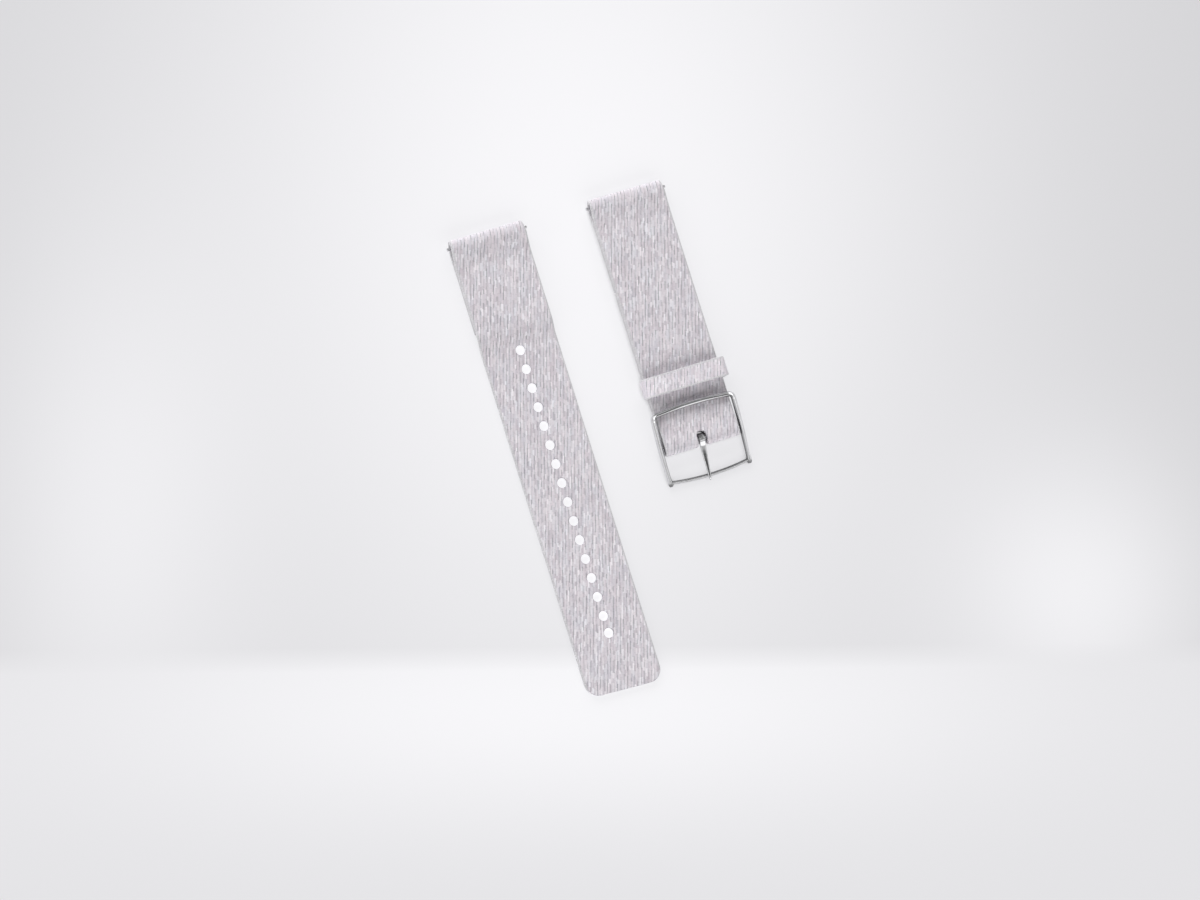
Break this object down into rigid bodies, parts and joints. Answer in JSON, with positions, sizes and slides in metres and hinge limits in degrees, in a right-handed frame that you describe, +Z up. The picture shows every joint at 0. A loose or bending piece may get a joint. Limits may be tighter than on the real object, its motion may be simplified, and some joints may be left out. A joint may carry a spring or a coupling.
{
  "type": "watch strap",
  "caption": "Two-piece woven watch strap with punched holes, pin buckle, free keeper loop and quick-release spring bars.",
  "frame": {"origin": "on the table, under the middle of the box round both halves", "axes": "+X across the straps, +Y along them towards the ends that meet the watch, +Z up from the table, outer faces up"},
  "size_m": [0.06, 0.1204, 0.0055],
  "materials": {
    "woven_fabric": "heathered grey-lilac woven webbing with fine lengthwise streaks",
    "polished_steel": "polished stainless steel",
    "spring_wire": "drawn spring wire",
    "adhesive_film": "clear hot-melt film"
  },
  "bodies": {
    "short_half": {"short_strap": "woven_fabric", "short_bond_film": "adhesive_film", "short_bar_tube": "polished_steel", "short_bar_fixed_pin": "polished_steel", "short_bar_spring": "spring_wire", "buckle_bar_tube": "polished_steel", "buckle_bar_spring": "spring_wire"},
    "short_release": {"short_bar_release_pin": "polished_steel", "short_bar_lever": "polished_steel"},
    "keeper": {"keeper_loop": "woven_fabric"},
    "frame": {"buckle_frame": "polished_steel", "buckle_front_rod": "polished_steel"},
    "tang": {"buckle_tang": "polished_steel"},
    "buckle_left_tip": {"buckle_bar_left_tip": "polished_steel"},
    "buckle_right_tip": {"buckle_bar_right_tip": "polished_steel"},
    "long_half": {"long_strap": "woven_fabric", "long_bond_film": "adhesive_film", "long_bar_tube": "polished_steel", "long_bar_fixed_pin": "polished_steel", "long_bar_spring": "spring_wire"},
    "long_release": {"long_bar_release_pin": "polished_steel", "long_bar_lever": "polished_steel"}
  },
  "joints": [
    {"name": "long_half_lift", "type": "slide", "parent": "short_half", "child": "long_half", "axis": [0, 0, 1], "range_m": [0, 0.03]},
    {"name": "short_release_slide", "type": "slide", "parent": "short_half", "child": "short_release", "axis": [1, 0, 0], "range_m": [0, 0.0015], "stiffness_N_per_m": 600, "springref_m": -0.001, "deforming": ["short_bar_spring"]},
    {"name": "long_release_slide", "type": "slide", "parent": "long_half", "child": "long_release", "axis": [1, 0, 0], "range_m": [0, 0.0015], "stiffness_N_per_m": 600, "springref_m": -0.001, "deforming": ["long_bar_spring"]},
    {"name": "keeper_slide", "type": "slide", "parent": "short_half", "child": "keeper", "axis": [0, 1, 0], "range_m": [-0.0032, 0.039]},
    {"name": "frame_hinge", "type": "hinge", "parent": "short_half", "child": "frame", "pos_m": [0.01835, -0.00555, 0.002], "axis": [1, 0, 0], "range_deg": [0, 110]},
    {"name": "tang_hinge", "type": "hinge", "parent": "frame", "child": "tang", "pos_m": [0.01835, -0.00555, 0.002], "axis": [-1, 0, 0], "range_deg": [0, 110]},
    {"name": "buckle_left_tip_slide", "type": "slide", "parent": "short_half", "child": "buckle_left_tip", "axis": [1, 0, 0], "range_m": [0, 0.0009], "stiffness_N_per_m": 600, "springref_m": -0.001, "deforming": ["buckle_bar_spring"]},
    {"name": "buckle_right_tip_slide", "type": "slide", "parent": "short_half", "child": "buckle_right_tip", "axis": [-1, 0, 0], "range_m": [0, 0.0009], "stiffness_N_per_m": 600, "springref_m": -0.001, "deforming": ["buckle_bar_spring"]}
  ]
}
